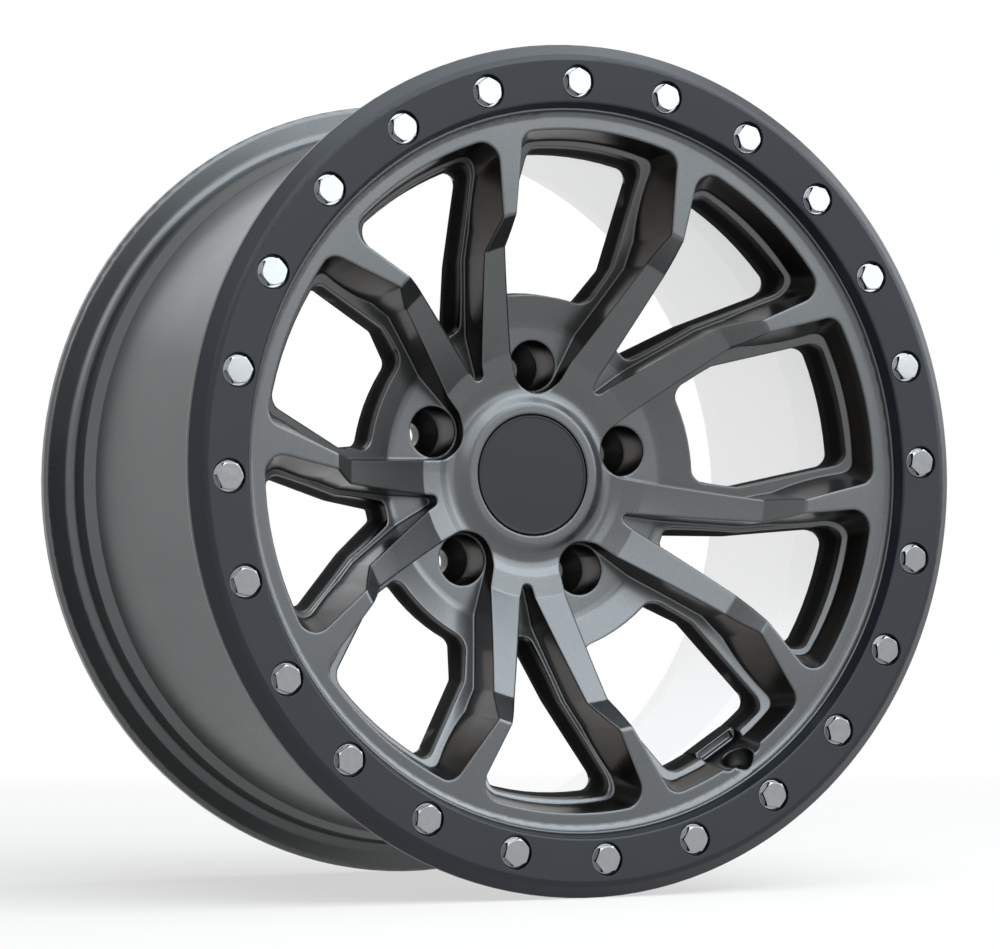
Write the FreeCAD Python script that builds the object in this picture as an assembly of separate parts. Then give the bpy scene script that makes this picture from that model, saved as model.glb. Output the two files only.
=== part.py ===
import FreeCAD, Part
import math
import os
from FreeCAD import Vector

# A concave five-lug cast wheel with a bolted trim ring and a snap-in centre cap.
# Millimetres. The axle runs along Y, the outer face looks towards -Y and +Z is up.
# The origin lies on the axle, midway between the bolt heads and the rear face of the rim.
# Depths are measured inwards (+Y) from the crease of the trim ring, heights from the hub face.

# Overall sizes
FLANGE_RADIUS = 235.5
OVERALL_WIDTH = 251.4
WHEEL_OFFSET = 0.0

# Rim
FLANGE_HEIGHT = 17.2
REAR_FLANGE_THICKNESS = 8.4
FRONT_FLANGE_THICKNESS = 4.8
FRONT_FLANGE_SETBACK = 1.5
FLANGE_ROOT = 6.0
FLANGE_EDGE = 2.2
SEAT_TAPER = 5.0
FRONT_SEAT_WIDTH = 20.0
REAR_SEAT_WIDTH = 16.0
HUMP_HEIGHT = 0.8
HUMP_LENGTH = 4.0
REAR_STEP_HEIGHT = 4.2
REAR_STEP_LENGTH = 8.0
WELL_DROP = 18.8
WELL_LEAD_IN = 24.0
WELL_WIDTH = 42.0
WELL_BLEND = 9.0
RIM_BLEND = 2.5
BARREL_WALL = 5.0
REAR_LIP_WIDTH = 13.0
REAR_LIP_RUN = 10.0
REAR_LIP_DEPTH = 8.0

# Trim ring
RING_FACE_WIDTH = 24.8
RING_BEVEL_WIDTH = 7.5
RING_BEVEL_DROP = 6.0
RING_DISH = 2.4
RING_WALL_RUN = 2.4
RING_THICKNESS = 9.2
RING_INNER_EDGE = 1.4
RING_OUTER_EDGE = 0.9
RING_CREASE_EDGE = 4.5
RING_CLEARANCE = 0.3

# Ring bolts
BOLT_COUNT = 24
BOLT_SIDES = 6
BOLT_CIRCLE_INSET = 21.1
BOLT_FIRST_ANGLE = 92.3
BOLT_CLOCKING = 23.0
BOLT_PROUD = 0.4
BOLT_SEAT_DEPTH = 5.0
BOLT_SEAT_CLEARANCE = 1.0
BOLT_FLANGE_RADIUS = 8.4
BOLT_FLANGE_THICKNESS = 1.5
BOLT_FLANGE_EDGE = 0.4
BOLT_ACROSS_FLATS = 13.4
BOLT_CHAMFER_RUN = 0.9
BOLT_CHAMFER_DROP = 0.6
BOLT_SHANK_RADIUS = 3.0
BOLT_SHANK_LENGTH = 10.0
BOLT_HOLE_CLEARANCE = 0.3
BOLT_THREAD_CLEARANCE = 0.1
BOLT_HOLE_EXTRA = 1.0

# Front face of the casting
SPIGOT_HEIGHT = 0.5
SPIGOT_LAND = 0.8
BAND_SETBACK = 3.5
BAND_FALL = 2.3
BAND_COVE = 3.6
BAND_WIDTH = 54.3
FACET_RUN = 16.0
FACET_DROP = 21.0
FACET_BLEND = 2.0
HUB_SLOPE_RADIUS = 70.0
HUB_SLOPE_HEIGHT = 55.7
HUB_SHOULDER_RADIUS = 58.5
HUB_SHOULDER_HEIGHT = 52.9
HUB_VALLEY_RADIUS = 49.0
HUB_VALLEY_HEIGHT = 49.1
HUB_VALLEY_BLEND = 11.0
HUB_RING_RADIUS = 40.5
HUB_RING_HEIGHT = 53.6
HUB_RING_BLEND = 4.0
HUB_BLEND = 1.5

# Hub
HUB_FACE_MARGIN = 7.0
CENTRE_BORE_RADIUS = 35.75
CENTRE_BORE_CHAMFER = 1.5
LUG_COUNT = 5
LUG_CIRCLE_RADIUS = 63.5
FIRST_LUG_ANGLE = 86.29
LUG_BORE_RADIUS = 14.4
LUG_BORE_EDGE = 0.7
LUG_HOLE_RADIUS = 7.5
LUG_HOLE_LENGTH = 9.0
LUG_SEAT_ANGLE = 60.0
LUG_PAD_THICKNESS = 44.3

# Spoke pairs and the windows beside them
WINDOW_SETBACK = 13.5
PAIR_HALF_ANGLE_AT_FOOT = 10.06
PAIR_HALF_ANGLE_AT_FACET = 13.22
PAIR_HALF_ANGLE_AT_RIM = 16.4
SPOKE_WIDTH_AT_FOOT = 13.1
SPOKE_WIDTH_AT_FACET = 8.1
SPOKE_WIDTH_AT_RIM = 14.8
PAIR_TIP_REACH = 62.5
PAIR_TIP_RADIUS = 3.4
LUG_WALL_RADIUS = 16.8
PAIR_CORNER = 11.0
WIDE_CORNER = 9.0
SIDE_BLEND = 5.0
PAIR_TIP_RUN = 0.5
LUG_WALL_RUN = 1.2
WALL_RUN_AT_FOOT = 1.6
WALL_RUN_AT_FACET = 5.0
WALL_RUN_AT_RIM = 6.0
WALL_RUN_OUTER = 2.6

# Pocket floor: lug pads at the hub and a ledge round each opening
LEDGE_DEPTH_AT_RIM = 28.2
PAD_LENGTH = 23.5
PAD_RISE = 1.6
PAD_BLEND = 10.0
WIDE_PAD_SLOPE = 11.5
PAIR_PAD_SLOPE = 5.0
WIDE_LEDGE = 7.0
PAIR_LEDGE = 3.4
PAIR_LEDGE_AT_RIM = 6.0
LEDGE_AT_PAD = 4.6
LEDGE_AT_RIM = 1.8
THROUGH_DEPTH = 13.0
WIDE_THROUGH_RUN = 0.8
PAIR_THROUGH_RUN = 2.6
THROUGH_RUN_AT_RIM = 2.4
THROUGH_RUN_AT_PAD = 3.6
THROUGH_CORNER = 8.0
WIDE_PAD_CORNER = 8.0
PAIR_PAD_CORNER = 4.5
PAD_CORNER_RUN = 2.6
SPOKE_BACK_BELOW_LEDGE = 18.0
SPOKE_BACK_HEIGHT = 32.0

# Valve seat in one wide window
VALVE_LUG = 2
VALVE_FACE_OUTSET = 0.6
VALVE_FACE_DROP = 6.6
VALVE_FACE_LEAN = 16.0
VALVE_NOTCH_WIDTH = 29.0
VALVE_NOTCH_CORNER = 5.0
VALVE_SHELF_DROP = 17.4
VALVE_TRAY_LENGTH = 28.0
VALVE_TRAY_WIDTH = 6.2
VALVE_POCKET_LENGTH = 24.0
VALVE_POCKET_WIDTH = 4.4
VALVE_POCKET_DEPTH = 2.5
VALVE_POCKET_SETBACK = 0.9
VALVE_HOLE_LEAN = 38.0
VALVE_COUNTERBORE_RADIUS = 9.0
VALVE_WALL = 12.0
VALVE_HOLE_RADIUS = 5.65

# Centre cap and its spring ring
CAP_RECESS_RADIUS = 34.9
CAP_EDGE_CLEARANCE = 0.8
CAP_SETBACK = 0.3
CAP_FACE_THICKNESS = 2.6
CAP_EDGE = 0.5
CAP_RIM_WIDTH = 1.2
CAP_RIM_HEIGHT = 0.35
CAP_LIP_RADIUS = 31.8
CAP_LIP_LENGTH = 9.0
CAP_SKIRT_CLEARANCE = 0.3
CAP_SKIRT_WALL = 1.8
CAP_BARB_OVERLAP = 0.6
CAP_BARB_LENGTH = 3.0
CAP_BARB_CLEARANCE = 0.2
CAP_RELIEF_CLEARANCE = 0.8
CAP_FINGER_COUNT = 8
CAP_FINGER_GAP = 5.0
SPRING_WIRE_RADIUS = 1.0
SPRING_GROOVE_DEPTH = 0.6
SPRING_CLEARANCE = 0.05
SPRING_GAP_ANGLE = 30.0

# How far cutters run past the surfaces that they open
OVERRUN = 2.0
SHORT_OVERRUN = 0.5
# How close a point lies to a surface that it's on
TOUCHING = 0.01

# Derived places
FRONT_Y = -OVERALL_WIDTH / 2 + BOLT_PROUD
REAR_DEPTH = OVERALL_WIDTH - BOLT_PROUD
FRONT_FLANGE_DEPTH = RING_THICKNESS + FRONT_FLANGE_THICKNESS
REAR_FLANGE_DEPTH = REAR_DEPTH - REAR_FLANGE_THICKNESS
MOUNT_DEPTH = (FRONT_FLANGE_DEPTH + REAR_FLANGE_DEPTH) / 2 - WHEEL_OFFSET
SEAT_RADIUS = FLANGE_RADIUS - FLANGE_HEIGHT
WELL_RADIUS = SEAT_RADIUS - WELL_DROP
RING_CREASE_RADIUS = FLANGE_RADIUS - RING_BEVEL_WIDTH
RING_EDGE_RADIUS = RING_CREASE_RADIUS - RING_FACE_WIDTH
RING_BORE_RADIUS = RING_EDGE_RADIUS - RING_WALL_RUN
SPIGOT_RADIUS = RING_BORE_RADIUS - RING_CLEARANCE
BOLT_CIRCLE_RADIUS = FLANGE_RADIUS - BOLT_CIRCLE_INSET
BOLT_SEAT_RADIUS = BOLT_FLANGE_RADIUS + BOLT_SEAT_CLEARANCE
BAND_DEPTH = RING_THICKNESS + BAND_SETBACK
WINDOW_RADIUS = RING_EDGE_RADIUS - WINDOW_SETBACK
LEDGE_RADIUS = WINDOW_RADIUS - WALL_RUN_OUTER
FACET_RADIUS = SPIGOT_RADIUS - BAND_WIDTH
FACET_DEPTH = BAND_DEPTH + BAND_FALL
FOOT_RADIUS = FACET_RADIUS - FACET_RUN
FOOT_DEPTH = FACET_DEPTH + FACET_DROP
LUG_PAD_DEPTH = MOUNT_DEPTH - LUG_PAD_THICKNESS
HUB_FACE_RADIUS = LUG_CIRCLE_RADIUS + LUG_HOLE_RADIUS + HUB_FACE_MARGIN
PAD_CREASE_RADIUS = LUG_CIRCLE_RADIUS + PAD_LENGTH
WIDE_PAD_RADIUS = PAD_CREASE_RADIUS + WIDE_PAD_SLOPE
PAIR_PAD_RADIUS = PAD_CREASE_RADIUS + PAIR_PAD_SLOPE
POCKET_REACH = min(LUG_CIRCLE_RADIUS - LUG_WALL_RADIUS, PAIR_TIP_REACH) - OVERRUN
PAD_CREASE_DEPTH = LUG_PAD_DEPTH - PAD_RISE
HUB_RING_DEPTH = MOUNT_DEPTH - HUB_RING_HEIGHT
CAP_LIP_DEPTH = HUB_RING_DEPTH + CAP_SETBACK + CAP_FACE_THICKNESS
CAP_LIP_END = CAP_LIP_DEPTH + CAP_LIP_LENGTH
CAP_BARB_START = CAP_LIP_END + CAP_BARB_CLEARANCE
CAP_BARB_END = CAP_BARB_START + CAP_BARB_LENGTH
CAP_BARB_RADIUS = CAP_LIP_RADIUS + CAP_BARB_OVERLAP
CAP_SKIRT_RADIUS = CAP_LIP_RADIUS - CAP_SKIRT_CLEARANCE
CAP_SKIRT_INSIDE = CAP_SKIRT_RADIUS - CAP_SKIRT_WALL
SPRING_RADIUS = CAP_SKIRT_INSIDE + SPRING_GROOVE_DEPTH - SPRING_WIRE_RADIUS
SPRING_DEPTH = CAP_BARB_START + CAP_BARB_LENGTH / 2
LUG_STEP = 360.0 / LUG_COUNT
VALVE_FACE_RADIUS = WINDOW_RADIUS + VALVE_FACE_OUTSET
VALVE_FACE_DEPTH = BAND_DEPTH + VALVE_FACE_DROP
VALVE_SHELF_DEPTH = VALVE_FACE_DEPTH + VALVE_SHELF_DROP
VALVE_FOOT_RADIUS = VALVE_FACE_RADIUS - VALVE_SHELF_DROP * math.tan(math.radians(VALVE_FACE_LEAN))
VALVE_TRAY_RADIUS = VALVE_FOOT_RADIUS - VALVE_TRAY_WIDTH
FRONT_SEAT_END = FRONT_FLANGE_DEPTH + FRONT_SEAT_WIDTH
FRONT_SEAT_END_RADIUS = SEAT_RADIUS - FRONT_SEAT_WIDTH * math.tan(math.radians(SEAT_TAPER))
HUMP_DEPTH = FRONT_SEAT_END + HUMP_LENGTH
HUMP_RADIUS = FRONT_SEAT_END_RADIUS + HUMP_HEIGHT
WELL_START = HUMP_DEPTH + WELL_LEAD_IN

CENTRE = Vector(0, 0, 0)
INWARDS = Vector(0, 1, 0)
SPIN = Vector(0, -1, 0)


# Outlines

def lathe_point(radius, depth):
    """A point of a turned profile."""
    return Vector(radius, FRONT_Y + depth, 0)


def run(start, end, middle=None):
    """One edge of an outline: an arc where a middle point is given, else a line."""
    if middle is None:
        return Part.LineSegment(start, end).toShape()
    return Part.Arc(start, middle, end).toShape()


def corner_arc(before, corner, after, radius):
    """Start, middle and end of the round in the corner between two straight runs."""
    back = (before - corner).normalize()
    forth = (after - corner).normalize()
    half = back.getAngle(forth) / 2
    bisector = (back + forth).normalize()
    centre = corner + bisector * (radius / math.sin(half))
    reach = radius / math.tan(half)
    return corner + back * reach, centre - bisector * radius, corner + forth * reach


def rounded_outline(corners):
    """A closed wire through (point, rounding) corners."""
    count = len(corners)
    edges = []
    starts = []
    ends = []
    for index, (point, rounding) in enumerate(corners):
        start, end = point, point
        if rounding > 0:
            before = corners[index - 1][0]
            after = corners[(index + 1) % count][0]
            start, middle, end = corner_arc(before, point, after, rounding)
            edges.append(run(start, end, middle))
        starts.append(start)
        ends.append(end)
    for index in range(count):
        edges.append(run(ends[index], starts[(index + 1) % count]))
    return Part.Wire(Part.__sortEdges__(edges))


def turned(profile):
    """A solid of revolution about the axle, from (radius, depth, rounding) corners."""
    corners = [(lathe_point(-radius, depth), rounding) for radius, depth, rounding in profile]
    return Part.Face(rounded_outline(corners)).revolve(CENTRE, INWARDS, 360)


def drilled(radius, start, end, circle=0.0):
    """A cylinder along the axle between two depths, its centre on a circle at angle zero."""
    return Part.makeCylinder(radius, end - start, lathe_point(circle, start), INWARDS)


def coned(start_radius, end_radius, start, end, circle):
    """A cone along the axle between two depths, its centre on a circle at angle zero."""
    return Part.makeCone(start_radius, end_radius, end - start, lathe_point(circle, start), INWARDS)


def spun(shape, angle):
    """A copy of a shape, turned about the axle from +X towards +Z."""
    copy = shape.copy()
    copy.rotate(CENTRE, SPIN, angle)
    return copy


def lug_angle(index):
    """The angle of one lug and of the wide window in front of it."""
    return FIRST_LUG_ANGLE - LUG_STEP * index


def bolt_angle(index):
    """The angle of one ring bolt."""
    return BOLT_FIRST_ANGLE - 360.0 * index / BOLT_COUNT


def between(start, end, place, start_place, end_place):
    """The value at a place on the straight line through two known values."""
    return start + (end - start) * (place - start_place) / (end_place - start_place)


# Turned body of the casting

def front_profile():
    """The front of the casting from the trim ring's spigot in to the cap recess."""
    spigot_top = RING_THICKNESS - SPIGOT_HEIGHT
    return [
        (SPIGOT_RADIUS, RING_THICKNESS, 0),
        (SPIGOT_RADIUS, spigot_top, 0),
        (SPIGOT_RADIUS - SPIGOT_LAND, spigot_top, 0),
        (SPIGOT_RADIUS - SPIGOT_LAND, BAND_DEPTH, BAND_COVE),
        (FACET_RADIUS, FACET_DEPTH, FACET_BLEND),
        (FOOT_RADIUS, FOOT_DEPTH, FACET_BLEND),
        (HUB_SLOPE_RADIUS, MOUNT_DEPTH - HUB_SLOPE_HEIGHT, HUB_BLEND),
        (HUB_SHOULDER_RADIUS, MOUNT_DEPTH - HUB_SHOULDER_HEIGHT, HUB_RING_BLEND),
        (HUB_VALLEY_RADIUS, MOUNT_DEPTH - HUB_VALLEY_HEIGHT, HUB_VALLEY_BLEND),
        (HUB_RING_RADIUS, HUB_RING_DEPTH, HUB_RING_BLEND),
        (CAP_RECESS_RADIUS, HUB_RING_DEPTH, CAP_EDGE),
    ]


def hub_profile():
    """The bore from the cap recess back to the hub face and out to the backs of the spokes."""
    relief_radius = CAP_BARB_RADIUS + CAP_RELIEF_CLEARANCE
    relief_end = CAP_BARB_END + CAP_RELIEF_CLEARANCE
    return [
        (CAP_RECESS_RADIUS, CAP_LIP_DEPTH, 0),
        (CAP_LIP_RADIUS, CAP_LIP_DEPTH, 0),
        (CAP_LIP_RADIUS, CAP_LIP_END, 0),
        (relief_radius, CAP_LIP_END, 0),
        (relief_radius, relief_end, 0),
        (CENTRE_BORE_RADIUS, relief_end, 0),
        (CENTRE_BORE_RADIUS, MOUNT_DEPTH - CENTRE_BORE_CHAMFER, 0),
        (CENTRE_BORE_RADIUS + CENTRE_BORE_CHAMFER, MOUNT_DEPTH, 0),
        (HUB_FACE_RADIUS, MOUNT_DEPTH, HUB_BLEND),
        (WIDE_PAD_RADIUS, MOUNT_DEPTH - SPOKE_BACK_HEIGHT, WELL_BLEND),
    ]


def barrel_profile():
    """The barrel from the backs of the spokes, round the rear flange and on to the front one."""
    well_end = WELL_START + WELL_WIDTH
    rear_seat_end = REAR_FLANGE_DEPTH - REAR_SEAT_WIDTH
    step_foot = rear_seat_end - REAR_STEP_LENGTH
    rear_end_radius = SEAT_RADIUS - REAR_SEAT_WIDTH * math.tan(math.radians(SEAT_TAPER))
    step_radius = rear_end_radius - REAR_STEP_HEIGHT
    well_inside = WELL_RADIUS - BARREL_WALL
    lip_radius = FLANGE_RADIUS - REAR_LIP_WIDTH
    back_depth = LEDGE_DEPTH_AT_RIM + SPOKE_BACK_BELOW_LEDGE
    front_flange_radius = FLANGE_RADIUS - FRONT_FLANGE_SETBACK
    return [
        (LEDGE_RADIUS, back_depth, WELL_BLEND),
        (well_inside, WELL_START, WELL_BLEND),
        (well_inside, well_end, WELL_BLEND),
        (step_radius - BARREL_WALL, step_foot, WELL_BLEND),
        (lip_radius - REAR_LIP_RUN, REAR_DEPTH - REAR_LIP_DEPTH, RIM_BLEND),
        (lip_radius, REAR_DEPTH, RIM_BLEND),
        (FLANGE_RADIUS, REAR_DEPTH, FLANGE_EDGE),
        (FLANGE_RADIUS, REAR_FLANGE_DEPTH, FLANGE_EDGE),
        (SEAT_RADIUS, REAR_FLANGE_DEPTH, FLANGE_ROOT),
        (rear_end_radius, rear_seat_end, RIM_BLEND),
        (step_radius, step_foot, RIM_BLEND),
        (WELL_RADIUS, well_end, WELL_BLEND),
        (WELL_RADIUS, WELL_START, WELL_BLEND),
        (HUMP_RADIUS, HUMP_DEPTH, RIM_BLEND),
        (FRONT_SEAT_END_RADIUS, FRONT_SEAT_END, RIM_BLEND),
        (SEAT_RADIUS, FRONT_FLANGE_DEPTH, FLANGE_ROOT),
        (front_flange_radius, FRONT_FLANGE_DEPTH, 0),
        (front_flange_radius, RING_THICKNESS, 0),
    ]


def floor_depth(radius):
    """Depth of the pocket floor at a radius."""
    if radius < PAD_CREASE_RADIUS:
        return between(LUG_PAD_DEPTH, PAD_CREASE_DEPTH, radius, LUG_CIRCLE_RADIUS, PAD_CREASE_RADIUS)
    return between(PAD_CREASE_DEPTH, LEDGE_DEPTH_AT_RIM, radius, PAD_CREASE_RADIUS, LEDGE_RADIUS)


def floor_profile(end_depth, lift):
    """The space from the pocket floor, lifted off it, to a flat depth in front of or behind it."""
    outer = WINDOW_RADIUS + OVERRUN
    return [
        (POCKET_REACH, end_depth, 0),
        (POCKET_REACH, floor_depth(POCKET_REACH) - lift, 0),
        (PAD_CREASE_RADIUS, PAD_CREASE_DEPTH - lift, PAD_BLEND),
        (outer, floor_depth(outer) - lift, 0),
        (outer, end_depth, 0),
    ]


# Windows: outlines lie across the axle, with their centre line along X

def polar(radius, angle):
    """A point across the axle, at an angle from the window's centre line."""
    return Vector(radius * math.cos(math.radians(angle)), 0, radius * math.sin(math.radians(angle)))


def tangent_from(point, nose, radius):
    """Where the line from a point touches a round nose on the centre line."""
    away = point.sub(Vector(nose, 0, 0))
    angle = math.atan2(away.z, away.x) + math.acos(radius / away.Length)
    return Vector(nose + radius * math.cos(angle), 0, radius * math.sin(angle))


def end_round(start, towards, circle, radius, outer):
    """Touch point on a side, middle, and touch point on a concentric end, of their corner round."""
    forth = (towards - start).normalize()
    sense = 1 if outer else -1
    side = Vector(forth.z, 0, -forth.x) * sense
    base = start + side * radius
    reach = circle - radius * sense
    half = base.dot(forth)
    root = math.sqrt(half * half - base.dot(base) + reach * reach)
    centre = base + forth * (root * sense - half)
    touch = centre - side * radius
    end = centre * (circle / centre.Length)
    middle = centre + ((touch + end) * 0.5 - centre).normalize() * radius
    return touch, middle, end


def mirrored(point):
    """The same point on the other side of the centre line."""
    return Vector(point.x, 0, -point.z)


def closed_outline(side, outer, inner, depth):
    """A window's wire at a depth: a list of (start, end, middle) runs of one side and its mirror,
    closed by an outer and an inner arc through points on the centre line."""
    runs = list(side)
    runs.append((side[-1][1], mirrored(side[-1][1]), Vector(outer, 0, 0)))
    for start, end, middle in reversed(side):
        runs.append((mirrored(end), mirrored(start), mirrored(middle) if middle else None))
    runs.append((mirrored(side[0][0]), side[0][0], Vector(inner, 0, 0)))
    wire = Part.Wire([run(start, end, middle) for start, end, middle in runs])
    wire.translate(Vector(0, FRONT_Y + depth, 0))
    return wire


class Window:
    """The sizes of one kind of window at the face, at the floor and through the spokes."""

    def __init__(self, half_angles, nose, nose_radius, nose_run, corner, ledges, through_run,
                 pad_radius, pad_corner):
        radii = (FOOT_RADIUS, FACET_RADIUS, WINDOW_RADIUS)
        self.face = [polar(radius, angle) for radius, angle in zip(radii, half_angles)]
        self.nose = nose
        self.nose_radius = nose_radius
        self.nose_run = nose_run
        self.corner = corner
        self.ledges = ledges
        self.through_run = through_run
        self.pad_radius = pad_radius
        self.pad_corner = pad_corner

    def side(self, index, depth):
        """One point of the pocket's side at a depth, its wall leaning inwards."""
        runs = (WALL_RUN_AT_FOOT, WALL_RUN_AT_FACET, WALL_RUN_AT_RIM)
        depths = (FOOT_DEPTH, FACET_DEPTH, BAND_DEPTH)
        face = self.face[index]
        lean = Vector(-WALL_RUN_OUTER if index == 2 else 0, 0, -runs[index])
        share = (depth - depths[index]) / (floor_depth(face.Length) - depths[index])
        return face + lean * share

    def pocket_outline(self, depth):
        """The pocket's wire at a depth."""
        foot, facet, rim = [self.side(index, depth) for index in range(3)]
        face_depth = MOUNT_DEPTH - HUB_SLOPE_HEIGHT
        share = (depth - face_depth) / (floor_depth(self.nose) - face_depth)
        radius = self.nose_radius - self.nose_run * share
        circle = rim.Length
        first = tangent_from(foot, self.nose, radius)
        one = corner_arc(first, foot, facet, SIDE_BLEND)
        two = corner_arc(foot, facet, rim, SIDE_BLEND)
        end = end_round(facet, rim, circle, self.corner, True)
        side = [
            (first, one[0], None),
            (one[0], one[2], one[1]),
            (one[2], two[0], None),
            (two[0], two[2], two[1]),
            (two[2], end[0], None),
            (end[0], end[2], end[1]),
        ]
        return closed_outline(side, circle, self.nose - radius, depth)

    def through_points(self):
        """Half outline of the opening in the floor: beside the pad, at the foot and at the rim."""
        foot = self.side(0, floor_depth(self.face[0].Length))
        rim = self.side(2, floor_depth(self.face[2].Length))
        touch = tangent_from(foot, self.nose, self.nose_radius)
        pad_half = between(touch.z, foot.z, self.pad_radius, touch.x, foot.x) - LEDGE_AT_PAD
        return [
            Vector(self.pad_radius, 0, pad_half),
            Vector(foot.x, 0, foot.z - self.ledges[0]),
            Vector(rim.x - LEDGE_AT_RIM, 0, rim.z - self.ledges[1]),
        ]

    def through_outline(self, depth, shares):
        """The opening's wire at a depth, each point moved in by a share of the wall's run."""
        pad, foot, rim = self.through_points()
        pad = pad + Vector(THROUGH_RUN_AT_PAD, 0, -THROUGH_RUN_AT_PAD) * shares[0]
        foot = foot + Vector(0, 0, -self.through_run) * shares[1]
        rim = rim + Vector(-THROUGH_RUN_AT_RIM, 0, -self.through_run) * shares[2]
        inner = pad.Length
        outer = rim.Length
        start = end_round(foot, pad, inner, self.pad_corner - PAD_CORNER_RUN * shares[0], False)
        middle = corner_arc(pad, foot, rim, SIDE_BLEND)
        end = end_round(foot, rim, outer, THROUGH_CORNER, True)
        side = [
            (start[2], start[0], start[1]),
            (start[0], middle[0], None),
            (middle[0], middle[2], middle[1]),
            (middle[2], end[0], None),
            (end[0], end[2], end[1]),
        ]
        return closed_outline(side, outer, inner, depth)

    def pocket(self):
        """The space in front of the ledge and the pad."""
        front = RING_THICKNESS
        back = floor_depth(POCKET_REACH) + OVERRUN
        walls = Part.makeLoft([self.pocket_outline(front), self.pocket_outline(back)], True, True)
        return walls.common(turned(floor_profile(front, 0)))

    def opening(self):
        """The way through the spokes, narrowing behind the floor and then straight."""
        pad, foot, rim = self.through_points()
        floors = [floor_depth(point.Length) for point in (pad, foot, rim)]
        front = LEDGE_DEPTH_AT_RIM - OVERRUN
        neck = floors[0] + THROUGH_DEPTH + SHORT_OVERRUN
        back = MOUNT_DEPTH + OVERRUN
        wires = []
        for depth in (front, neck):
            wires.append(self.through_outline(depth, [(depth - floor) / THROUGH_DEPTH for floor in floors]))
        funnel = Part.makeLoft(wires, True, True)
        straight = Part.Face(self.through_outline(front, (1, 1, 1))).extrude(INWARDS * (back - front))
        return funnel.fuse(straight).common(turned(floor_profile(back, SHORT_OVERRUN)))


def rounded_on_floor(shape, tool, radius):
    """Rounds the edges in which a tool meets the pocket floor."""
    floor = turned(floor_profile(RING_THICKNESS, 0)).Shells[0]
    edges = []
    for edge in shape.Edges:
        middle = Part.Vertex(edge.valueAt(edge.getParameterByLength(edge.Length / 2)))
        if floor.distToShape(middle)[0] < TOUCHING and tool.distToShape(middle)[0] < TOUCHING:
            edges.append(edge)
    return shape.makeFillet(radius, edges)


def pair_window():
    """The cutter of the window inside a pair of spokes."""
    angles = (PAIR_HALF_ANGLE_AT_FOOT, PAIR_HALF_ANGLE_AT_FACET, PAIR_HALF_ANGLE_AT_RIM)
    nose = PAIR_TIP_REACH + PAIR_TIP_RADIUS
    ledges = (PAIR_LEDGE, PAIR_LEDGE_AT_RIM)
    window = Window(angles, nose, PAIR_TIP_RADIUS, PAIR_TIP_RUN, PAIR_CORNER, ledges,
                    PAIR_THROUGH_RUN, PAIR_PAD_RADIUS, PAIR_PAD_CORNER)
    return window.pocket().fuse(window.opening())


def wide_window():
    """The cutter of the window between two pairs of spokes, with the lug's bore."""
    widths = (SPOKE_WIDTH_AT_FOOT, SPOKE_WIDTH_AT_FACET, SPOKE_WIDTH_AT_RIM)
    radii = (FOOT_RADIUS, FACET_RADIUS, WINDOW_RADIUS)
    pairs = (PAIR_HALF_ANGLE_AT_FOOT, PAIR_HALF_ANGLE_AT_FACET, PAIR_HALF_ANGLE_AT_RIM)
    angles = [LUG_STEP / 2 - pair - math.degrees(width / radius)
              for width, radius, pair in zip(widths, radii, pairs)]
    ledges = (WIDE_LEDGE, WIDE_LEDGE)
    window = Window(angles, LUG_CIRCLE_RADIUS, LUG_WALL_RADIUS, LUG_WALL_RUN, WIDE_CORNER, ledges,
                    WIDE_THROUGH_RUN, WIDE_PAD_RADIUS, WIDE_PAD_CORNER)
    seat_end = MOUNT_DEPTH - LUG_HOLE_LENGTH
    seat_start = seat_end - (LUG_BORE_RADIUS - LUG_HOLE_RADIUS) / math.tan(math.radians(LUG_SEAT_ANGLE / 2))
    bore = drilled(LUG_BORE_RADIUS, LUG_PAD_DEPTH - PAD_RISE, seat_start, LUG_CIRCLE_RADIUS)
    cutter = rounded_on_floor(window.pocket().fuse(bore), bore, LUG_BORE_EDGE)
    seat = coned(LUG_BORE_RADIUS, LUG_HOLE_RADIUS, seat_start, seat_end, LUG_CIRCLE_RADIUS)
    hole = drilled(LUG_HOLE_RADIUS, seat_end, MOUNT_DEPTH + OVERRUN, LUG_CIRCLE_RADIUS)
    return cutter.fuse([window.opening(), seat, hole])


def valve_tray():
    """The boss below the valve's face, which stands into its window."""
    start = VALVE_SHELF_DEPTH - OVERRUN
    end = MOUNT_DEPTH + OVERRUN + SHORT_OVERRUN
    corner = lathe_point(VALVE_TRAY_RADIUS, start) - Vector(0, 0, VALVE_TRAY_LENGTH / 2)
    return Part.makeBox(WINDOW_RADIUS - VALVE_TRAY_RADIUS, end - start, VALVE_TRAY_LENGTH, corner)


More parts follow.
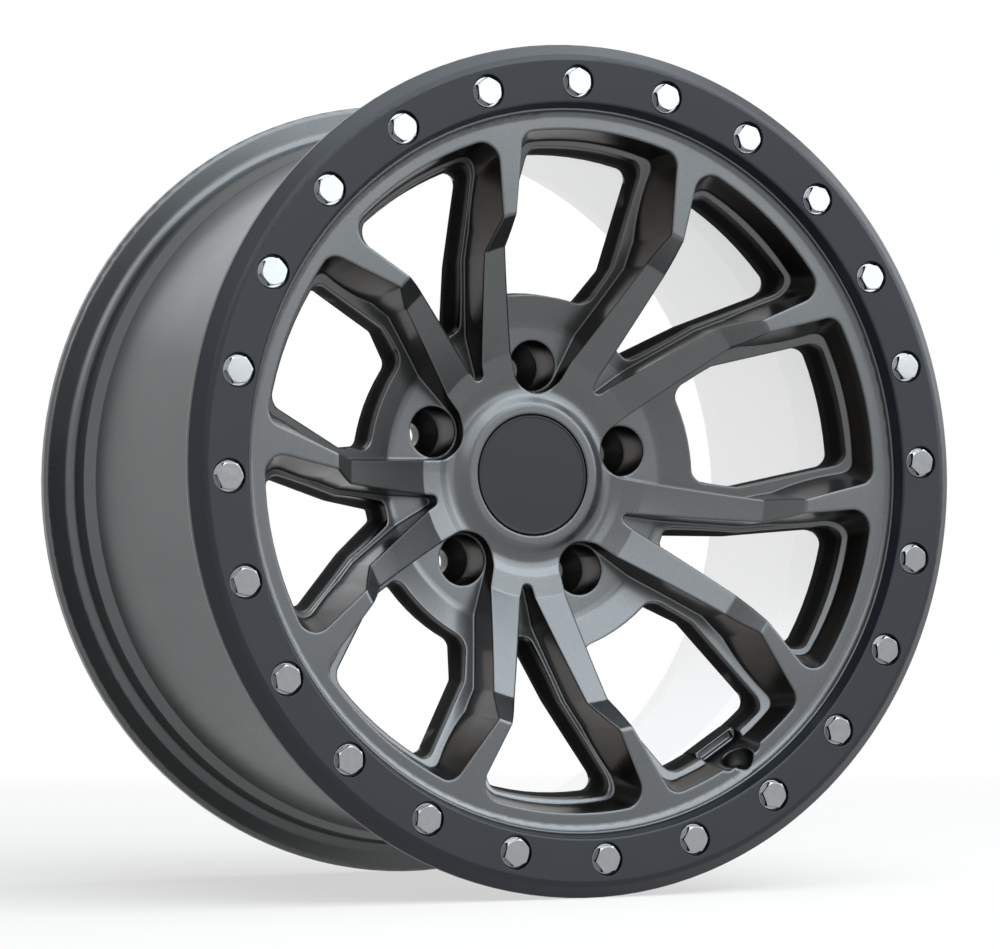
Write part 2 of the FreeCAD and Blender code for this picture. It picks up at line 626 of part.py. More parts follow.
def valve_seat():
    """The notch, the pocket in its tray and the hole of the valve, on the centre line of a wide window."""
    lean = math.radians(VALVE_FACE_LEAN)
    along = Vector(-math.sin(lean), math.cos(lean), 0)
    seat = lathe_point(VALVE_FACE_RADIUS, VALVE_FACE_DEPTH)
    top = seat - along * ((VALVE_FACE_DEPTH - RING_THICKNESS) / math.cos(lean))
    foot = lathe_point(VALVE_FOOT_RADIUS, VALVE_SHELF_DEPTH)
    inner = VALVE_TRAY_RADIUS - OVERRUN
    points = [top, foot, lathe_point(inner, VALVE_SHELF_DEPTH), lathe_point(inner, RING_THICKNESS)]
    half = Vector(0, 0, VALVE_NOTCH_WIDTH / 2)
    face = Part.Face(Part.makePolygon([point - half for point in points + points[:1]]))
    notch = face.extrude(half * 2)
    middle = (top + foot) * 0.5
    rims = [edge for edge in notch.Edges if edge.CenterOfMass.sub(middle).cross(half).Length < TOUCHING]
    notch = notch.makeFillet(VALVE_NOTCH_CORNER, rims)
    corner = foot - Vector(VALVE_POCKET_SETBACK + VALVE_POCKET_WIDTH, OVERRUN, VALVE_POCKET_LENGTH / 2)
    pocket = Part.makeBox(VALVE_POCKET_WIDTH, OVERRUN + VALVE_POCKET_DEPTH, VALVE_POCKET_LENGTH, corner)
    drill = math.radians(VALVE_HOLE_LEAN)
    outwards = Vector(math.cos(drill), math.sin(drill), 0)
    crest = lathe_point(HUMP_RADIUS, HUMP_DEPTH)
    slope = (lathe_point(WELL_RADIUS, WELL_START) - crest).normalize()
    across = Vector(slope.y, -slope.x, 0)
    reach = (crest - seat).dot(across) / outwards.dot(across)
    mouth = seat - outwards * VALVE_COUNTERBORE_RADIUS
    counterbore = Part.makeCylinder(VALVE_COUNTERBORE_RADIUS, VALVE_COUNTERBORE_RADIUS + reach - VALVE_WALL,
                                    mouth, outwards)
    hole = Part.makeCylinder(VALVE_HOLE_RADIUS, reach + VALVE_WALL, seat, outwards)
    return notch.fuse([pocket, counterbore, hole])


def wheel_casting():
    """The rim, spokes and hub, cast in one piece."""
    body = turned(front_profile() + hub_profile() + barrel_profile())
    tapped = drilled(BOLT_SHANK_RADIUS + BOLT_THREAD_CLEARANCE, BOLT_SEAT_DEPTH,
                     BOLT_SEAT_DEPTH + BOLT_SHANK_LENGTH + BOLT_HOLE_EXTRA, BOLT_CIRCLE_RADIUS)
    wide = wide_window()
    pair = pair_window()
    cutters = []
    for index in range(LUG_COUNT):
        window = wide.cut(valve_tray()) if index == VALVE_LUG else wide
        cutters.append(spun(window, lug_angle(index)))
        cutters.append(spun(pair, lug_angle(index) + LUG_STEP / 2))
    cutters.append(spun(valve_seat(), lug_angle(VALVE_LUG)))
    for index in range(BOLT_COUNT):
        cutters.append(spun(tapped, bolt_angle(index)))
    return body.cut(cutters)


# Trim ring and its bolts

def trim_ring():
    """The ring in front of the rim, with a seat and a hole for each bolt."""
    ring = turned([
        (RING_BORE_RADIUS, RING_THICKNESS, 0),
        (RING_EDGE_RADIUS, RING_DISH, RING_INNER_EDGE),
        (RING_CREASE_RADIUS, 0, RING_CREASE_EDGE),
        (FLANGE_RADIUS, RING_BEVEL_DROP, RING_OUTER_EDGE),
        (FLANGE_RADIUS, RING_THICKNESS, 0),
    ])
    seat = drilled(BOLT_SEAT_RADIUS, -OVERRUN, BOLT_SEAT_DEPTH, BOLT_CIRCLE_RADIUS)
    hole = drilled(BOLT_SHANK_RADIUS + BOLT_HOLE_CLEARANCE, 0, RING_THICKNESS + OVERRUN, BOLT_CIRCLE_RADIUS)
    cutter = seat.fuse(hole)
    return ring.cut([spun(cutter, bolt_angle(index)) for index in range(BOLT_COUNT)])


def ring_bolt():
    """One hexagon bolt with a washer face, standing on the axle."""
    top = -BOLT_PROUD
    flange_top = BOLT_SEAT_DEPTH - BOLT_FLANGE_THICKNESS
    corner = BOLT_ACROSS_FLATS / 2 / math.cos(math.pi / BOLT_SIDES)
    first = Part.Vertex(lathe_point(corner, top))
    corners = [spun(first, 360.0 * index / BOLT_SIDES).Point for index in range(BOLT_SIDES)]
    prism = Part.Face(Part.makePolygon(corners + corners[:1])).extrude(INWARDS * (BOLT_SEAT_DEPTH - top))
    rim = corner + OVERRUN
    crown = turned([
        (0, top, 0),
        (corner - BOLT_CHAMFER_RUN, top, 0),
        (corner, top + BOLT_CHAMFER_DROP, 0),
        (rim, top + BOLT_CHAMFER_DROP + OVERRUN, 0),
        (rim, BOLT_SEAT_DEPTH, 0),
        (0, BOLT_SEAT_DEPTH, 0),
    ])
    shank_end = BOLT_SEAT_DEPTH + BOLT_SHANK_LENGTH
    foot = turned([
        (0, flange_top, 0),
        (BOLT_FLANGE_RADIUS, flange_top, BOLT_FLANGE_EDGE),
        (BOLT_FLANGE_RADIUS, BOLT_SEAT_DEPTH, 0),
        (BOLT_SHANK_RADIUS, BOLT_SEAT_DEPTH, 0),
        (BOLT_SHANK_RADIUS, shank_end, 0),
        (0, shank_end, 0),
    ])
    return prism.common(crown).fuse(foot).removeSplitter()


def ring_bolts():
    """All bolts of the trim ring, each left at its own angle by the wrench."""
    bolt = ring_bolt()
    bolts = []
    for index in range(BOLT_COUNT):
        turned_bolt = spun(bolt, BOLT_CLOCKING * index)
        turned_bolt.translate(Vector(BOLT_CIRCLE_RADIUS, 0, 0))
        bolts.append(spun(turned_bolt, bolt_angle(index)))
    return Part.makeCompound(bolts)


# Centre cap

def centre_cap():
    """The plain cap: a disc seated on the bore's lip, with fingers that hook behind the lip."""
    face = HUB_RING_DEPTH + CAP_SETBACK
    edge = CAP_RECESS_RADIUS - CAP_EDGE_CLEARANCE
    cap = turned([
        (0, face + CAP_RIM_HEIGHT, 0),
        (edge - CAP_RIM_WIDTH, face + CAP_RIM_HEIGHT, 0),
        (edge - CAP_RIM_WIDTH, face, 0),
        (edge, face, CAP_EDGE),
        (edge, CAP_LIP_DEPTH, 0),
        (CAP_SKIRT_RADIUS, CAP_LIP_DEPTH, 0),
        (CAP_SKIRT_RADIUS, CAP_BARB_START, 0),
        (CAP_BARB_RADIUS, CAP_BARB_START, 0),
        (CAP_SKIRT_RADIUS, CAP_BARB_END, 0),
        (CAP_SKIRT_INSIDE, CAP_BARB_END, 0),
        (CAP_SKIRT_INSIDE, CAP_LIP_DEPTH, 0),
        (0, CAP_LIP_DEPTH, 0),
    ])
    groove = Part.makeTorus(SPRING_RADIUS, SPRING_WIRE_RADIUS + SPRING_CLEARANCE,
                            lathe_point(0, SPRING_DEPTH), INWARDS)
    corner = lathe_point(0, CAP_LIP_DEPTH) - Vector(0, 0, CAP_FINGER_GAP / 2)
    slot = Part.makeBox(CAP_BARB_RADIUS, CAP_BARB_END - CAP_LIP_DEPTH, CAP_FINGER_GAP, corner)
    slots = [spun(slot, 360.0 * index / CAP_FINGER_COUNT) for index in range(CAP_FINGER_COUNT)]
    return cap.cut([groove] + slots)


def cap_spring_ring():
    """The open wire ring that presses the cap's fingers outwards."""
    section = Part.makeCircle(SPRING_WIRE_RADIUS, lathe_point(SPRING_RADIUS, SPRING_DEPTH), Vector(0, 0, 1))
    ring = Part.Face(Part.Wire(section)).revolve(CENTRE, SPIN, 360.0 - SPRING_GAP_ANGLE)
    return spun(ring, SPRING_GAP_ANGLE / 2)


NODES = {
    "wheel_casting": wheel_casting,
    "trim_ring": trim_ring,
    "ring_bolts": ring_bolts,
    "centre_cap": centre_cap,
    "cap_spring_ring": cap_spring_ring,
}

os.makedirs("parts", exist_ok=True)
for name, build in NODES.items():
    build().exportStep("parts/" + name + ".step")
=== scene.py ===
"""Studio scene of a concave cast wheel with a bolted trim ring and a plain centre cap."""

import logging
import math
from dataclasses import dataclass
from enum import Enum
from typing import Any, Protocol

import bpy
from mathutils import Euler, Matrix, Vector


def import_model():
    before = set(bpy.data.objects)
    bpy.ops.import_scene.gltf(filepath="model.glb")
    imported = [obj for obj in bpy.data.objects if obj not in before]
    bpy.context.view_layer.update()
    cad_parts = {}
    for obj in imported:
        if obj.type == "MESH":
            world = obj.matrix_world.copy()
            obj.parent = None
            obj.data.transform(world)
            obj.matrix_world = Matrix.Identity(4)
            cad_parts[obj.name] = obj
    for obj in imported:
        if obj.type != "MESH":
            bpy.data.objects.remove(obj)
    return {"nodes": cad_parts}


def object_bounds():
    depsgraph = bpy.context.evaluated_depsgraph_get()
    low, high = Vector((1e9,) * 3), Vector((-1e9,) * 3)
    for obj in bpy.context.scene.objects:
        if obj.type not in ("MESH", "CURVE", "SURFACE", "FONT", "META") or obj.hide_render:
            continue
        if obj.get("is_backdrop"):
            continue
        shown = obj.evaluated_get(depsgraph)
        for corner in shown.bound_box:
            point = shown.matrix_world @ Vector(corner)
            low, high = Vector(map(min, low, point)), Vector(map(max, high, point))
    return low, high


LOG = logging.getLogger("wheel")

Triple = tuple[float, float, float]
Socket = bpy.types.NodeSocket
Nodes = dict[str, bpy.types.Object]

WHITE: Triple = (1.0, 1.0, 1.0)


class Node(Enum):
    """The nodes of the frame."""

    CASTING = "wheel_casting"
    RING = "trim_ring"
    BOLTS = "ring_bolts"
    CAP = "centre_cap"
    SPRING = "cap_spring_ring"


class Ray(Enum):
    """The kinds of ray that see the white background."""

    CAMERA = "Is Camera Ray"
    GLOSSY = "Is Glossy Ray"
    TRANSMISSION = "Is Transmission Ray"


class Mixed(Enum):
    """What a mix node mixes, with the places of its first choice and of its result."""

    VALUE = ("FLOAT", 2, 0)
    COLOUR = ("RGBA", 6, 2)


@dataclass(frozen=True)
class Grain:
    """A noise pattern: waves to the metre, octaves, strength of the small ones, and scale along each axis."""

    scale: float
    detail: float
    roughness: float
    stretch: Triple = (1.0, 1.0, 1.0)


@dataclass(frozen=True)
class Skin:
    """The fine relief of a surface and the round of its sharp edges, in metres."""

    grain: Grain
    strength: float
    edge_round: float
    depth: float = 0.0001


def rgba(colour: Triple) -> tuple[float, float, float, float]:
    """A colour with full cover."""
    return (*colour, 1.0)


class Graph:
    """The node graph of a material or of the world."""

    EDGE_SAMPLES = 8

    def __init__(self, owner: bpy.types.Material | bpy.types.World) -> None:
        """Empties the owner's node tree and takes it over.

        Args:
            owner: What the nodes belong to.
        """
        owner.use_nodes = True
        self.owner = owner
        self.tree = owner.node_tree
        self.tree.nodes.clear()

    def add(self, kind: str, **settings: Any) -> bpy.types.Node:
        """Adds a node.

        Args:
            kind: The node's type name, without its common start.
            settings: The node's attributes by name.

        Returns:
            The new node.
        """
        node = self.tree.nodes.new("ShaderNode" + kind)
        for key, value in settings.items():
            setattr(node, key, value)
        return node

    def link(self, source: Socket, target: Socket) -> None:
        """Joins two sockets."""
        self.tree.links.new(source, target)

    def place(self) -> Socket:
        """The point's place in the piece's own frame."""
        return self.add("TexCoord").outputs["Object"]

    def noise(self, grain: Grain) -> Socket:
        """Noise fixed to the piece.

        Args:
            grain: The pattern.

        Returns:
            The noise value, from 0 to 1.
        """
        mapping = self.add("Mapping")
        mapping.inputs["Scale"].default_value = grain.stretch
        node = self.add("TexNoise")
        node.inputs["Scale"].default_value = grain.scale
        node.inputs["Detail"].default_value = grain.detail
        node.inputs["Roughness"].default_value = grain.roughness
        self.link(self.place(), mapping.inputs["Vector"])
        self.link(mapping.outputs["Vector"], node.inputs["Vector"])
        return node.outputs["Fac"]

    def cells(self, scale: float) -> Socket:
        """A random colour for each small cell of the surface.

        Args:
            scale: Cells to the metre.

        Returns:
            The cell's colour.
        """
        node = self.add("TexVoronoi")
        node.inputs["Scale"].default_value = scale
        self.link(self.place(), node.inputs["Vector"])
        return node.outputs["Color"]

    def spread(self, value: Socket, low: float, high: float, start: float = 0.0, end: float = 1.0) -> Socket:
        """Maps a value to a range, and stops at its ends.

        Args:
            value: The value.
            low: What the start becomes.
            high: What the end becomes.
            start: The value that becomes the low end.
            end: The value that becomes the high end.

        Returns:
            The mapped value.
        """
        node = self.add("MapRange")
        node.inputs["From Min"].default_value = start
        node.inputs["From Max"].default_value = end
        node.inputs["To Min"].default_value = low
        node.inputs["To Max"].default_value = high
        self.link(value, node.inputs["Value"])
        return node.outputs["Result"]

    def math(self, operation: str, *values: Socket) -> Socket:
        """Works out one value from others.

        Args:
            operation: The name of the sum.
            values: What goes in.

        Returns:
            The result.
        """
        node = self.add("Math", operation=operation)
        for socket, value in zip(node.inputs, values):
            self.link(value, socket)
        return node.outputs["Value"]

    def vector(self, operation: str, *vectors: Socket) -> bpy.types.Node:
        """Works with vectors.

        Args:
            operation: The name of the sum.
            vectors: What goes in.

        Returns:
            The node, with the result as its Value or its Vector.
        """
        node = self.add("VectorMath", operation=operation)
        for socket, value in zip(node.inputs, vectors):
            self.link(value, socket)
        return node

    def all_of(self, *shares: Socket) -> Socket:
        """Finds where all of some shares are 1.

        Args:
            shares: The shares, each from 0 to 1.

        Returns:
            Their product.
        """
        product = shares[0]
        for share in shares[1:]:
            product = self.math("MULTIPLY", product, share)
        return product

    def mix(self, what: Mixed, share: Socket, first: Socket | Triple, second: Socket | Triple | float) -> Socket:
        """Something between two choices.

        Args:
            what: Whether values or colours are mixed.
            share: How much of the second one there is.
            first: The choice at 0, fixed or varying over the surface.
            second: The choice at 1, fixed or varying over the surface.

        Returns:
            The mix.
        """
        data_type, place, result = what.value
        node = self.add("Mix", data_type=data_type)
        self.link(share, node.inputs[0])
        for socket, choice in zip((node.inputs[place], node.inputs[place + 1]), (first, second)):
            if isinstance(choice, Socket):
                self.link(choice, socket)
            else:
                socket.default_value = rgba(choice) if what is Mixed.COLOUR else choice
        return node.outputs[result]

    def skin(self, skin: Skin) -> Socket:
        """The normal of the surface with its fine relief and its sharp edges rounded off.

        Args:
            skin: The relief.

        Returns:
            The bent normal.
        """
        edges = self.add("Bevel", samples=self.EDGE_SAMPLES)
        edges.inputs["Radius"].default_value = skin.edge_round
        node = self.add("Bump")
        node.inputs["Strength"].default_value = skin.strength
        node.inputs["Distance"].default_value = skin.depth
        self.link(self.noise(skin.grain), node.inputs["Height"])
        self.link(edges.outputs["Normal"], node.inputs["Normal"])
        return node.outputs["Normal"]

    def surface(self, **values: float) -> bpy.types.Node:
        """The main shader, joined to the output.

        Args:
            values: Fixed values of its sockets, with _ for the spaces of their names.

        Returns:
            The shader node.
        """
        shader = self.add("BsdfPrincipled")
        for key, value in values.items():
            shader.inputs[key.replace("_", " ")].default_value = value
        self.link(shader.outputs["BSDF"], self.add("OutputMaterial").inputs["Surface"])
        return shader

    def seen(self) -> Socket:
        """Tells a ray from the camera, a reflection or glass from one of diffuse light.

        Returns:
            1 for the first kind and 0 for the second.
        """
        path = self.add("LightPath")
        share = path.outputs[Ray.CAMERA.value]
        for ray in (Ray.GLOSSY, Ray.TRANSMISSION):
            share = self.math("MAXIMUM", share, path.outputs[ray.value])
        return share


class Finish(Protocol):
    """Anything that can make a material."""

    def make(self) -> bpy.types.Material:
        """Builds the material."""


@dataclass(frozen=True)
class CastingZones:
    """The places, in metres, at which the finish of the casting changes and the painted shade on its walls
    begins.
    """

    barrel_start: float = -0.075
    barrel_radius: float = 0.16
    wall_radius: float = 0.188
    window_radius: float = 0.081
    ledge_inner: tuple[float, float] = (0.092, -0.0448)
    ledge_outer: tuple[float, float] = (0.186, -0.0971)
    ledge_fade: tuple[float, float] = (0.001, 0.005)
    steep_to_flat: tuple[float, float] = (0.30, 0.62)
    inwards_to_level: tuple[float, float] = (-0.4, -0.2)
    fade: float = 0.004
    wall_fade: float = 0.002

    def shares(self, graph: Graph) -> tuple[Socket, Socket, Socket]:
        """Finds the barrel's inside, the steep walls between the spokes, and such walls behind the ledge.

        Args:
            graph: The graph to add to.

        Returns:
            Three values, each 1 there and 0 elsewhere.
        """
        parts = graph.add("SeparateXYZ")
        graph.link(graph.place(), parts.inputs["Vector"])
        depth = parts.outputs["Y"]
        across = graph.add("CombineXYZ")
        graph.link(parts.outputs["X"], across.inputs["X"])
        graph.link(parts.outputs["Z"], across.inputs["Z"])
        radius = graph.vector("LENGTH", across.outputs["Vector"]).outputs["Value"]
        outwards = graph.vector("NORMALIZE", across.outputs["Vector"]).outputs["Vector"]
        normal = graph.add("NewGeometry").outputs["Normal"]
        tilt = graph.vector("DOT_PRODUCT", normal, outwards).outputs["Value"]
        slope = graph.add("SeparateXYZ")
        graph.link(normal, slope.inputs["Vector"])

        behind = graph.spread(depth, 0.0, 1.0, self.barrel_start, self.barrel_start + self.fade)
        outer = graph.spread(radius, 0.0, 1.0, self.barrel_radius, self.barrel_radius + self.fade)
        inwards = graph.spread(tilt, 1.0, 0.0, *self.inwards_to_level)
        barrel = graph.all_of(behind, outer, inwards)

        steep = graph.spread(graph.math("ABSOLUTE", slope.outputs["Y"]), 1.0, 0.0, *self.steep_to_flat)
        inner = graph.spread(radius, 1.0, 0.0, self.wall_radius, self.wall_radius + self.wall_fade)
        wall_shade = graph.all_of(steep, inner)

        radii, depths = zip(self.ledge_inner, self.ledge_outer)
        ledge = graph.spread(radius, *depths, *radii)
        deep = graph.spread(graph.math("SUBTRACT", depth, ledge), 0.0, 1.0, *self.ledge_fade)
        window = graph.spread(radius, 0.0, 1.0, self.window_radius, self.window_radius + self.fade)
        return barrel, wall_shade, graph.all_of(wall_shade, deep, window)


@dataclass(frozen=True)
class CastingPaint:
    """Satin gunmetal paint with fine flake and bare metal inside the barrel. The steep walls between the spokes
    carry painted shade, warmed by a painted reflection of the ground. The walls behind the ledge carry a darker
    painted shade and are rough and without coat.
    """

    name: str = "gunmetal_paint"
    zones: CastingZones = CastingZones()
    dark: Triple = (0.081, 0.084, 0.086)
    light: Triple = (0.114, 0.119, 0.122)
    flake_scale: float = 3200.0
    metal: float = 0.95
    roughness: float = 0.30
    roughness_range: float = 0.04
    cloud: Grain = Grain(scale=16.0, detail=3.0, roughness=0.55)
    cloud_ends: tuple[float, float] = (0.3, 0.7)
    coat: float = 0.25
    coat_roughness: float = 0.16
    # Painted shade on the steep walls between the spokes. Its warm tint is a painted reflection of the ground.
    wall_shade: Triple = (0.040, 0.0355, 0.032)
    # Near-black painted shade on the walls behind the ledge.
    deep_shade: Triple = (0.005, 0.0052, 0.0053)
    dry_roughness: float = 0.80
    patches: Grain = Grain(scale=60.0, detail=3.0, roughness=0.6)
    patch_gain: float = 1.3
    bare_dark: Triple = (0.82, 0.82, 0.82)
    bare_light: Triple = (0.92, 0.92, 0.92)
    bare_roughness: float = 0.40
    bare_roughness_range: float = 0.1
    turning: Grain = Grain(scale=30.0, detail=4.0, roughness=0.7, stretch=(1.0, 60.0, 1.0))
    skin: Skin = Skin(Grain(scale=900.0, detail=2.0, roughness=0.5), strength=0.06, edge_round=0.0020)

    def patchy(self, graph: Graph, share: Socket, colour: Triple) -> Socket:
        """The colour, a little lighter where the share of patches is high."""
        red, green, blue = (value * self.patch_gain for value in colour)
        return graph.mix(Mixed.COLOUR, share, colour, (red, green, blue))

    def make(self) -> bpy.types.Material:
        """Builds the material.

        Returns:
            The new material.
        """
        graph = Graph(bpy.data.materials.new(self.name))
        shader = graph.surface(Metallic=self.metal, Coat_Roughness=self.coat_roughness)
        barrel, wall_shade, deep = self.zones.shares(graph)
        graph.link(graph.spread(deep, self.coat, 0.0), shader.inputs["Coat Weight"])

        patches = graph.noise(self.patches)
        turning = graph.noise(self.turning)
        colour = graph.mix(Mixed.COLOUR, graph.cells(self.flake_scale), self.dark, self.light)
        # Painted shade on the steep walls between the spokes.
        colour = graph.mix(Mixed.COLOUR, wall_shade, colour, self.patchy(graph, patches, self.wall_shade))
        # Near-black painted shade on the walls behind the ledge.
        colour = graph.mix(Mixed.COLOUR, deep, colour, self.patchy(graph, patches, self.deep_shade))
        bare = graph.mix(Mixed.COLOUR, turning, self.bare_dark, self.bare_light)
        graph.link(graph.mix(Mixed.COLOUR, barrel, colour, bare), shader.inputs["Base Color"])

        low, high = self.roughness - self.roughness_range, self.roughness + self.roughness_range
        satin = graph.spread(graph.noise(self.cloud), low, high, *self.cloud_ends)
        dull = graph.mix(Mixed.VALUE, deep, satin, self.dry_roughness)
        turned = graph.spread(turning, self.bare_roughness, self.bare_roughness + self.bare_roughness_range)
        graph.link(graph.mix(Mixed.VALUE, barrel, dull, turned), shader.inputs["Roughness"])

        skin = graph.skin(self.skin)
        graph.link(skin, shader.inputs["Normal"])
        graph.link(skin, shader.inputs["Coat Normal"])
        return graph.owner


@dataclass(frozen=True)
class BlackCoat:
    """A satin black coat with a fine pebbled skin."""

    name: str
    dark: Triple
    light: Triple
    roughness: float
    skin: Skin
    roughness_range: float = 0.03
    gloss: float = 0.36
    cloud: Grain = Grain(scale=22.0, detail=4.0, roughness=0.6)
    cloud_ends: tuple[float, float] = (0.3, 0.7)

    def make(self) -> bpy.types.Material:
        """Builds the material.

        Returns:
            The new material.
        """
        graph = Graph(bpy.data.materials.new(self.name))
        shader = graph.surface(Metallic=0.0, Specular_IOR_Level=self.gloss)
        cloud = graph.noise(self.cloud)
        graph.link(graph.mix(Mixed.COLOUR, cloud, self.dark, self.light), shader.inputs["Base Color"])
        low, high = self.roughness - self.roughness_range, self.roughness + self.roughness_range
        graph.link(graph.spread(cloud, low, high, *self.cloud_ends), shader.inputs["Roughness"])
        graph.link(graph.skin(self.skin), shader.inputs["Normal"])
        return graph.owner


@dataclass(frozen=True)
class BrightMetal:
    """Plated or bare metal with faint polishing marks."""

    name: str
    dark: Triple
    light: Triple
    roughness: float
    skin: Skin
    roughness_ends: tuple[float, float] = (0.7, 1.3)
    haze: Grain = Grain(scale=240.0, detail=3.0, roughness=0.6)

    def make(self) -> bpy.types.Material:
        """Builds the material.

        Returns:
            The new material.
        """
        graph = Graph(bpy.data.materials.new(self.name))
        shader = graph.surface(Metallic=1.0)
        haze = graph.noise(self.haze)
        graph.link(graph.mix(Mixed.COLOUR, haze, self.dark, self.light), shader.inputs["Base Color"])
        low, high = (self.roughness * end for end in self.roughness_ends)
        graph.link(graph.spread(haze, low, high), shader.inputs["Roughness"])
        graph.link(graph.skin(self.skin), shader.inputs["Normal"])
        return graph.owner


POLISHED = Grain(scale=1500.0, detail=2.0, roughness=0.5)


def dress_node(nodes: Nodes, node: Node, finish: Finish) -> None:
    """Gives a piece its finish and evens the shading of its fillets.

    Args:
        nodes: The frame's objects by name.
        node: The piece.
        finish: What it is finished in.
    """
    material = finish.make()
    piece = nodes[node.value]
    if not piece.material_slots:
        piece.data.materials.append(material)
    for slot in piece.material_slots:
        slot.material = material
    shading = piece.modifiers.new("even_shading", "WEIGHTED_NORMAL")
    shading.mode = "FACE_AREA_WITH_ANGLE"
    LOG.info("%s: %d faces, %s", node.value, len(piece.data.polygons), material.name)


@dataclass(frozen=True)
class Casting:
    """Rim, barrel, spokes and hub, cast in one piece."""

    paint: Finish = CastingPaint()

    def dress(self, nodes: Nodes) -> None:
        """Finishes the casting."""
        dress_node(nodes, Node.CASTING, self.paint)


@dataclass(frozen=True)
class BoltedRing:
    """The trim ring in front of the rim and the bolts that hold it."""

    ring: Finish = BlackCoat(
        name="ring_black",
        # The blue tint of the ring's colour is a painted reflection of the sky.
        dark=(0.005, 0.007, 0.011),
        light=(0.007, 0.009, 0.015),
        roughness=0.34,
        skin=Skin(Grain(scale=1600.0, detail=2.0, roughness=0.5), strength=0.1, edge_round=0.0006),
    )
    bolts: Finish = BrightMetal(
        name="bolt_chrome",
        dark=(0.27, 0.28, 0.29),
        light=(0.35, 0.36, 0.37),
        roughness=0.12,
        skin=Skin(POLISHED, strength=0.04, edge_round=0.0003),
    )

    def dress(self, nodes: Nodes) -> None:
        """Finishes the ring and its bolts."""
        dress_node(nodes, Node.RING, self.ring)
        dress_node(nodes, Node.BOLTS, self.bolts)


@dataclass(frozen=True)
class CentreCap:
    """The cap in the bore and the wire that spreads its fingers."""

    cap: Finish = BlackCoat(
        name="cap_black",
        dark=(0.006, 0.007, 0.008),
        light=(0.008, 0.009, 0.011),
        roughness=0.40,
        skin=Skin(Grain(scale=2200.0, detail=2.0, roughness=0.5), strength=0.1, edge_round=0.0005),
    )
    spring: Finish = BrightMetal(
        name="spring_wire",
        dark=(0.48, 0.48, 0.49),
        light=(0.60, 0.60, 0.61),
        roughness=0.3,
        skin=Skin(POLISHED, strength=0.04, edge_round=0.0001),
    )

    def dress(self, nodes: Nodes) -> None:
        """Finishes the cap and its wire."""
        dress_node(nodes, Node.CAP, self.cap)
        dress_node(nodes, Node.SPRING, self.spring)


def facing(place: Vector, target: Vector) -> Euler:
    """The turn with which a lamp or a camera at a place looks at a target."""
    return (target - place).to_track_quat("-Z", "Y").to_euler()


def stand(name: str, data: bpy.types.ID) -> bpy.types.Object:
    """Adds an object to the scene.

    Args:
        name: The object's name.
        data: Its mesh, lamp or camera.

    Returns:
        The new object.
    """
    added = bpy.data.objects.new(name, data)
    bpy.context.scene.collection.objects.link(added)
    return added


@dataclass(frozen=True)
class Softbox:
    """A large soft lamp that faces the wheel. Its brightness is its power over pi times its area."""

    name: str
    place: Triple
    size: tuple[float, float]
    brightness: float
    colour: Triple = (0.88, 0.95, 1.0)

    def hang(self) -> None:
        """Hangs the lamp."""
        width, height = self.size
        data = bpy.data.lights.new(self.name, "AREA")
        data.shape = "RECTANGLE"
        data.size, data.size_y = width, height
        data.energy = self.brightness * math.pi * width * height
        data.color = self.colour
        lamp = stand(self.name, data)
        lamp.location = self.place
        lamp.rotation_euler = facing(Vector(self.place), Vector())
        lamp.visible_camera = False


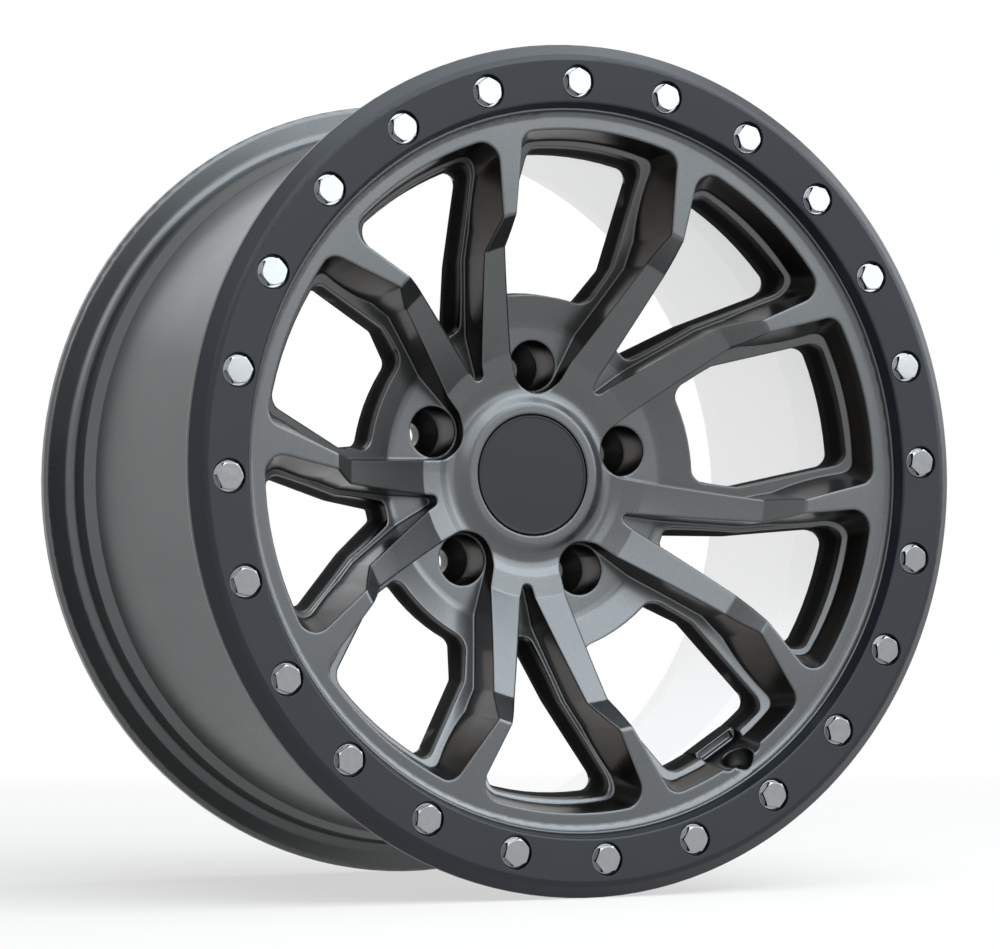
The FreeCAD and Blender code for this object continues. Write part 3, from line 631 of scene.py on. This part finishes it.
@dataclass(frozen=True)
class Floor:
    """A plain pale floor that shows the wheel's shadow and turns white further out."""

    height: float
    half: float = 8.0
    dark: Triple = (0.76, 0.73, 0.69)
    light: Triple = (0.79, 0.76, 0.72)
    cloud: Grain = Grain(scale=3.0, detail=2.0, roughness=0.5)
    white_share: tuple[float, float] = (0.6, 1.0)
    white_distance: tuple[float, float] = (0.3, 1.7)

    def finish(self) -> bpy.types.Material:
        """Builds the floor's material.

        Returns:
            The new material.
        """
        graph = Graph(bpy.data.materials.new("floor_pale"))
        pale = graph.add("BsdfDiffuse")
        colour = graph.mix(Mixed.COLOUR, graph.noise(self.cloud), self.dark, self.light)
        graph.link(colour, pale.inputs["Color"])
        white = graph.add("Emission")
        white.inputs["Strength"].default_value = 1.0
        away = graph.vector("LENGTH", graph.place()).outputs["Value"]
        share = graph.spread(away, *self.white_share, *self.white_distance)
        mix = graph.add("MixShader")
        graph.link(graph.all_of(graph.seen(), share), mix.inputs["Fac"])
        graph.link(pale.outputs["BSDF"], mix.inputs[1])
        graph.link(white.outputs["Emission"], mix.inputs[2])
        graph.link(mix.outputs["Shader"], graph.add("OutputMaterial").inputs["Surface"])
        return graph.owner

    def lay(self) -> None:
        """Lays the floor under the wheel."""
        half = self.half
        corners = [(-half, -half, 0), (half, -half, 0), (half, half, 0), (-half, half, 0)]
        mesh = bpy.data.meshes.new("floor")
        mesh.from_pydata(corners, [], [(0, 1, 2, 3)])
        mesh.materials.append(self.finish())
        floor = stand("floor", mesh)
        floor.location.z = self.height
        floor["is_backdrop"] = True


@dataclass(frozen=True)
class Studio:
    """The floor, the light and the camera."""

    floor: Floor
    lamps: tuple[Softbox, ...] = (
        Softbox("overhead", (0.5, -0.8, 2.1), (3.0, 2.8), brightness=3.2, colour=(0.84, 0.93, 1.0)),
        Softbox("front_right", (1.5, -1.95, 1.05), (2.2, 1.7), brightness=2.5),
        Softbox("right", (2.5, -0.6, 1.0), (2.9, 1.5), brightness=1.9),
        Softbox("front_left", (-1.0, -1.9, 1.35), (1.9, 1.3), brightness=1.8),
        Softbox("back", (-0.2, 2.4, 1.6), (2.6, 0.9), brightness=0.6, colour=(0.84, 0.93, 1.0)),
    )
    room_light: float = 0.15
    room_colour: Triple = (0.95, 0.97, 1.0)
    camera_place: Triple = (-0.85113, -1.74988, -0.09541)
    camera_target: Triple = (-0.05565, -0.12130, -0.00424)
    camera_lens: float = 120.06
    camera_range: tuple[float, float] = (0.05, 50.0)
    sensor_width: float = 36.0

    def build(self) -> None:
        """Sets up everything round the wheel."""
        self.floor.lay()
        self.light_world()
        for lamp in self.lamps:
            lamp.hang()
        self.place_camera()

    def light_world(self) -> None:
        """Sets the light from all round: white where it is seen, dimmer as light."""
        world = bpy.data.worlds.new("studio")
        bpy.context.scene.world = world
        graph = Graph(world)
        mix = graph.add("MixShader")
        graph.link(graph.seen(), mix.inputs["Fac"])
        choices = ((self.room_colour, self.room_light), (WHITE, 1.0))
        for socket, (colour, strength) in zip((mix.inputs[1], mix.inputs[2]), choices):
            light = graph.add("Background")
            light.inputs["Color"].default_value = rgba(colour)
            light.inputs["Strength"].default_value = strength
            graph.link(light.outputs["Background"], socket)
        graph.link(mix.outputs["Shader"], graph.add("OutputWorld").inputs["Surface"])

    def place_camera(self) -> None:
        """Places the camera where the photograph was taken."""
        data = bpy.data.cameras.new("camera")
        data.sensor_fit = "HORIZONTAL"
        data.sensor_width = self.sensor_width
        data.lens = self.camera_lens
        data.clip_start, data.clip_end = self.camera_range
        camera = stand("camera", data)
        camera.location = self.camera_place
        camera.rotation_euler = facing(Vector(self.camera_place), Vector(self.camera_target))
        bpy.context.scene.camera = camera


def plain(box: tuple[Vector, Vector]) -> list[list[float]]:
    """Two corners as plain lists."""
    return [[float(value) for value in corner] for corner in box]


def main() -> None:
    """Builds the scene, with the floor at the bottom of the frame."""
    logging.basicConfig(level=logging.INFO, format="%(name)s: %(message)s")
    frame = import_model()
    cad_box = plain(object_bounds())
    bpy.context.scene.view_settings.view_transform = "Standard"
    for assembly in (Casting(), BoltedRing(), CentreCap()):
        assembly.dress(frame["nodes"])
    Studio(Floor(height=cad_box[0][2])).build()


if __name__ == "__main__":
    main()
